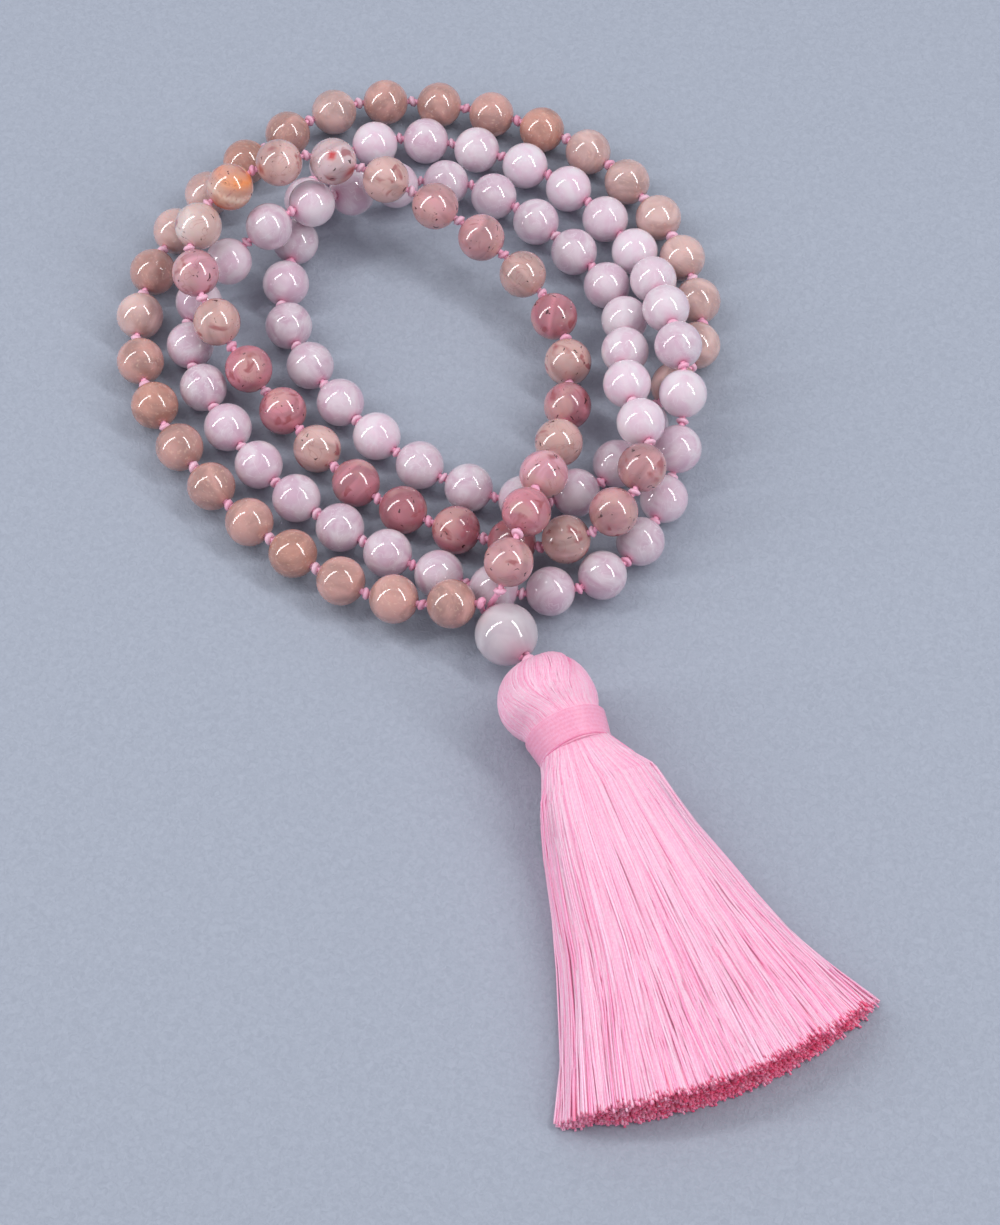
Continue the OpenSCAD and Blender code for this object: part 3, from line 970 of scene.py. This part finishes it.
# %% Stray threads at both edges
rng = np.random.default_rng(21)
across = np.where(rng.uniform(0, 1, STRAY) < 0.68, 0.97 + 0.15 * rng.uniform(0, 1, STRAY) ** 1.3,
                  -rng.uniform(0.97, 1.06, STRAY))
level = rng.uniform(-1, -0.3, STRAY)
# The stray threads carry less of the cut end's painted shade.
lay_skirt("skirt_stray_threads", across, level, rng.uniform(17, 18.4, STRAY), 22, 0.17,
          wander=1.3, cut_shade_share=0.3)

# %% [markdown]
# Between the layers the real skirt is packed with threads that nobody sees. A closed wedge
# stands for them, a little smaller than the bundle, so that no light leaks through. It is painted
# the deepest pink, with deep red at its end and a little along its sides, as painted shade in the
# gaps between the threads.


# %% The packed inside of the skirt
def cross_section(around):
    """The outline of the packing in the square of across and level, with its right edge cut."""
    to_square = np.minimum(1, 1 / np.maximum(np.abs(np.cos(around)), np.abs(np.sin(around))))
    return np.minimum(0.96 * np.cos(around) * to_square, EDGE), 0.93 * np.sin(around) * to_square


PACK_RINGS = 14
pack_coords, pack_faces = straight_tube("skirt_packing_pattern", 48, PACK_RINGS)
around = np.arctan2(pack_coords[:, 1], pack_coords[:, 0])
count = len(around)
lines = skirt_lines(*cross_section(around), np.full(count, 15.0), np.full(count, REACH - 0.7),
                    PACK_RINGS)
ring = ring_of(pack_coords)
packed = in_tassel_frame(lines[np.arange(count), ring])
skirt_pack = new_piece("skirt_packed_inside", packed, pack_faces)
# Painted shade: the packing is painted the deepest pink, with deep red at its end and a little
# along its sides.
paint(skirt_pack, "thread_shade", 1.0)
paint(skirt_pack, "painted_deep_shade", np.where(ring >= PACK_RINGS - 1, 1.0, 0.12))
dress(skirt_pack, skirt_silk, "tassel")
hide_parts("tassel_skirt")

# %% [markdown]
# ## The head
#
# The threads are laid over the core knot and folded down all round it, so on the head they run
# from the top to the neck like the lines on a globe. A smooth body fills the inside, and the
# threads lie loosely on it; the body is painted deep pink, as painted shade in their gaps. One
# lock crosses over its neighbours and leaves a crease, which is what makes a hand-made tassel
# look folded and not turned. The crease and the top of the head by the knot are painted deeper,
# as painted shade.

# %% Profile of the head
HEAD_R = 7.6
HEAD_FRONT, HEAD_BACK = 6.7, 6.1
HEAD_LEAN = 0.75
HEAD_RINGS = 14
fold = np.radians(np.arange(6, 133, 9))
head_s = 8.9 - np.where(fold < math.pi / 2, HEAD_FRONT, HEAD_BACK) * np.cos(fold)
head_r = HEAD_R * np.sin(fold) ** 0.7
head_s = np.concatenate([head_s, [14.5, 17.5]])
head_r = np.concatenate([head_r, [6.1, 4.9]])


def lean_of(s):
    """The head sits a little to one side of the neck."""
    return -HEAD_LEAN * (1 - smoothstep((s - 8) / 7))


def round_axis(s, r, around, lean=0.0):
    """Points round the tassel's axis, in its frame and in millimetres."""
    return np.stack([s, r * np.cos(around) + lean, AXIS_Z + r * np.sin(around)], axis=-1)


print("head profile points", len(head_s))

# %% The smooth body under the threads
put_down()
bpy.ops.mesh.primitive_uv_sphere_add(segments=64, ring_count=32, radius=1, location=(0, 0, 0))
under = added("head_body_pattern")
edit(under)
choose(under, lambda co: co.z < -0.6)
bpy.ops.transform.resize(value=(1, 1, 0.6), center_override=(0, 0, -0.6))
bpy.ops.object.mode_set(mode="OBJECT")
coords, faces = shape_of(under)
share = (1 - coords[:, 2]) / (1 - coords[:, 2].min())
s = np.interp(share, [0, 1], [2.8, 17.5])
r = np.interp(s, head_s, head_r) - 0.22
r = np.maximum(r, 0.02) * np.clip(np.linalg.norm(coords[:, :2], axis=1) / 0.12, 0, 1)
around = np.arctan2(coords[:, 1], coords[:, 0])
head_body = new_piece("head_inner_bundle",
                      in_tassel_frame(round_axis(s, r, around, lean_of(s))), faces)
# Painted shade: the body is painted the deepest pink with a little deep red, for the gaps between
# the threads.
paint(head_body, "thread_shade", 1.0)
paint(head_body, "painted_deep_shade", 0.2)
dress(head_body, skirt_silk, "tassel")

# %% Threads folded over the head
head_thread = straight_tube("head_thread_pattern", THREAD_SIDES, HEAD_RINGS)
rng = np.random.default_rng(31)
FOLDED = 1250
CREASE = math.radians(46)
start = rng.uniform(0, 2 * math.pi, FOLDED)
t = np.linspace(0, 1, HEAD_RINGS + 1)[None]
index = np.repeat(t * (len(head_s) - 1), FOLDED, axis=0)
s = np.interp(index, np.arange(len(head_s)), head_s)
r = np.interp(index, np.arange(len(head_s)), head_r)
away = (start[:, None] - CREASE + math.pi) % (2 * math.pi) - math.pi
swirl = 0.22 * np.sin(t * 3.0) + 0.10 * np.sin(t * 5 + start[:, None] * 3)
pull = -0.16 * np.exp(-(away / 0.5) ** 2) * np.sin(math.pi * np.clip(t * 1.5, 0, 1))
wave = 0.05 * rng.normal(size=(FOLDED, 1)) * np.sin(5 * t)
phi = start[:, None] + swirl + np.sign(away) * pull + wave
groove = 0.5 * np.exp(-(away / 0.12) ** 2) * np.exp(-((t - 0.26) / 0.16) ** 2)
over = 0.5 * np.exp(-((away - 0.3) / 0.22) ** 2) * np.exp(-((t - 0.32) / 0.3) ** 2)
r = np.maximum(r - 0.16 - groove + over + 0.07 * rng.uniform(-1, 1, (FOLDED, 1)), 0.55)
lines = round_axis(s, r, phi, lean_of(s))
lines[..., 2] = np.maximum(lines[..., 2], LOWEST)
out = np.stack([np.zeros_like(phi), np.cos(phi), np.sin(phi)], axis=-1)
turn = np.array(TASSEL)[:3, :3]
head = lay_threads("head_folded_threads", head_thread, in_tassel_frame(lines), out @ turn.T,
                   0.15 * MM * rng.uniform(0.8, 1.2, FOLDED))
ring = ring_of(head_thread[0])
# Painted shade: the threads are painted deeper, with some deep red, along the crease and at the top
# by the core knot.
deep = (np.exp(-(away / 0.17) ** 2) * np.exp(-((t - 0.3) / 0.2) ** 2)
        + 0.35 * np.exp(-(t / 0.13) ** 2))
shade = rng.beta(1.3, 2.4, (FOLDED, 1)) + 0.9 * deep
paint(head, "thread_shade", np.clip(shade[:, ring], 0, 1).ravel())
paint(head, "painted_deep_shade", np.clip(0.3 * deep[:, ring], 0, 1).ravel())
dress(head, skirt_silk, "tassel")
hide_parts("tassel_head")
print("head threads", FOLDED)

# %% [markdown]
# ## The neck wrapping
#
# A thread is wound round the neck, turn by turn, from the head down, and its last turn lies a
# little proud. The CAD ring under it stays in place and takes the same colour. The winding is a
# small circle carried round by a screw modifier, which turns and rises in one go. Its turns are
# then drawn in to the slope of the ring.

# %% Wind the neck
TURNS = 27
WOUND_FROM, WOUND_TO = 14.5, 19.3
WOUND_R = 6.6
put_down()
bpy.ops.mesh.primitive_circle_add(vertices=6, radius=0.14, location=(WOUND_R, 0, 0),
                                  rotation=(math.radians(90), 0, 0))
winding = added("winding_pattern")
pick_up(winding)
bpy.ops.object.transform_apply(location=True, rotation=True, scale=False)
turning = winding.modifiers.new("turning", "SCREW")
turning.axis = "Z"
turning.angle = 2 * math.pi
turning.screw_offset = (WOUND_TO - WOUND_FROM) / TURNS
turning.iterations = TURNS
turning.steps = 40
bpy.ops.object.modifier_apply(modifier="turning")
coords, faces = shape_of(winding)
s = WOUND_FROM + coords[:, 2]
r = np.linalg.norm(coords[:, :2], axis=1) - WOUND_R
around = np.arctan2(coords[:, 1], coords[:, 0])
last_turn = smoothstep((s - (WOUND_TO - 0.35)) / 0.1)
s = s + 0.05 * np.sin(around * 2 + s * 3)
r = r * (1 + 0.35 * last_turn) + np.interp(s, [14.4, 19.4], [6.56, 5.68]) + 0.14 * last_turn
winding = new_piece("neck_winding", in_tassel_frame(round_axis(s, r, around)), faces)
# The last turn is painted deeper pink, as painted shade along the step at the wrap's lower edge.
paint(winding, "thread_shade", 0.3 + 0.12 * np.sin(s * 9.1 + around) + 0.4 * last_turn)
edit(winding)
close_up()
dress(winding, wrap_silk, "tassel")
print("winding faces", len(winding.data.polygons))

# %% Colour the CAD parts that stay
for node, finish in (("tassel_neck_wrap", wrap_silk), ("tassel_inner_tie", wrap_silk),
                     ("tassel_core_knot", cord_silk)):
    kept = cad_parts[node]
    for slot_of in kept.material_slots:
        slot_of.material = finish
    print("kept", node)

# %% [markdown]
# ## Table and light
#
# The table is a pale, slightly cool surface with a fine leather grain. The room gives an even
# light, and two slim strip lights, one from the lower left up to overhead and one from behind
# overhead down to the right, put two slanting lines on every polished bead.

# %% Table
put_down()
bpy.ops.mesh.primitive_plane_add(size=30, location=(0, 0, 0))
table = added("table")
leather, shader = new_finish("table_pale_leather", Roughness=0.62)
where = add(leather, "ShaderNodeTexCoord")
grain = noise(leather, where, "Object", Scale=1150.0, Detail=2.0, Distortion=1.2)
tone = ramp(leather, grain, "Fac", [(0.3, colour(148, 154, 168)), (0.7, colour(158, 164, 178))])
wire(leather, tone, "Color", shader, "Base Color")
bump = add(leather, "ShaderNodeBump", [("Height", grain, "Fac")], Strength=0.5, Distance=0.0002)
wire(leather, bump, "Normal", shader, "Normal")
table.data.materials.append(leather)


# %% Two strip lights and an even room
STRIP_WIDTH = 0.08
STRIP_WATTS = 3.4


def strip_light(name, low, high):
    low, high = Vector(low), Vector(high)
    middle = (low + high) / 2
    back = middle.normalized()
    along = high - low
    along = (along - back * along.dot(back)).normalized()
    across = back.cross(along)
    turn = Matrix((along, across, back)).transposed()
    put_down()
    bpy.ops.object.light_add(type="AREA", location=middle, rotation=turn.to_euler())
    light = added(name)
    light.data.shape = "RECTANGLE"
    light.data.size = (high - low).length
    light.data.size_y = STRIP_WIDTH
    light.data.energy = STRIP_WATTS
    return light


strip_light("strip_left", (-0.88, -0.16, 0.10), (-0.25, 0.22, 0.84))
strip_light("strip_right", (0.26, 0.30, 0.81), (0.74, -0.36, 0.38))
room = bpy.data.worlds.new("room")
room.use_nodes = True
glow = room.node_tree.nodes["Background"].inputs
glow["Color"].default_value = (0.90, 0.94, 1.0, 1)
glow["Strength"].default_value = 0.62
bpy.context.scene.world = room
print("lights ready")

# %% [markdown]
# ## The end

# The finished piece must be no bigger than the CAD model, apart from the little that thread
# stands proud.

# %% Deselect everything
put_down()
